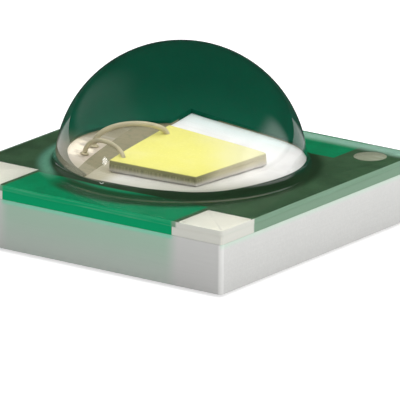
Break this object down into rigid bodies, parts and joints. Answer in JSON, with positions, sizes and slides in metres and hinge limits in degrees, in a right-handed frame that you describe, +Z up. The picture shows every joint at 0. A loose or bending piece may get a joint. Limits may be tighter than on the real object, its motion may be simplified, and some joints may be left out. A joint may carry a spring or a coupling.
{
  "type": "high-power led",
  "caption": "Surface-mount high-power light-emitting diode: square ceramic carrier with green mask, yellow phosphor chip and a clear silicone dome.",
  "frame": {"origin": "centre of the package's underside, on the plane of the solder pads", "axes": "+Z up through the dome, X and Y along the package's sides; the polarity mark is at the +X +Y corner and the bond wires are on the -X side"},
  "size_m": [0.0034, 0.0034, 0.0019],
  "materials": {
    "ceramic": "sawn matte ceramic",
    "plating": "satin silver plating",
    "copper": "plain copper",
    "silver": "satin silver plating",
    "mask": "glossy green solder mask",
    "attach": "dull solder",
    "chip": "sawn crystal",
    "phosphor": "matte yellow phosphor",
    "gold": "bright gold",
    "silicone": "clear moulded silicone"
  },
  "bodies": {
    "root": {"ceramic_substrate": "ceramic", "thermal_pad": "plating", "anode_pad": "plating", "cathode_pad": "plating", "vias": "copper", "die_trace": "silver", "bond_trace": "silver", "solder_mask": "mask", "die_attach": "attach", "led_chip": "chip", "phosphor_layer": "phosphor", "chip_contacts": "gold", "bond_wires": "gold", "lens": "silicone"}
  },
  "joints": []
}
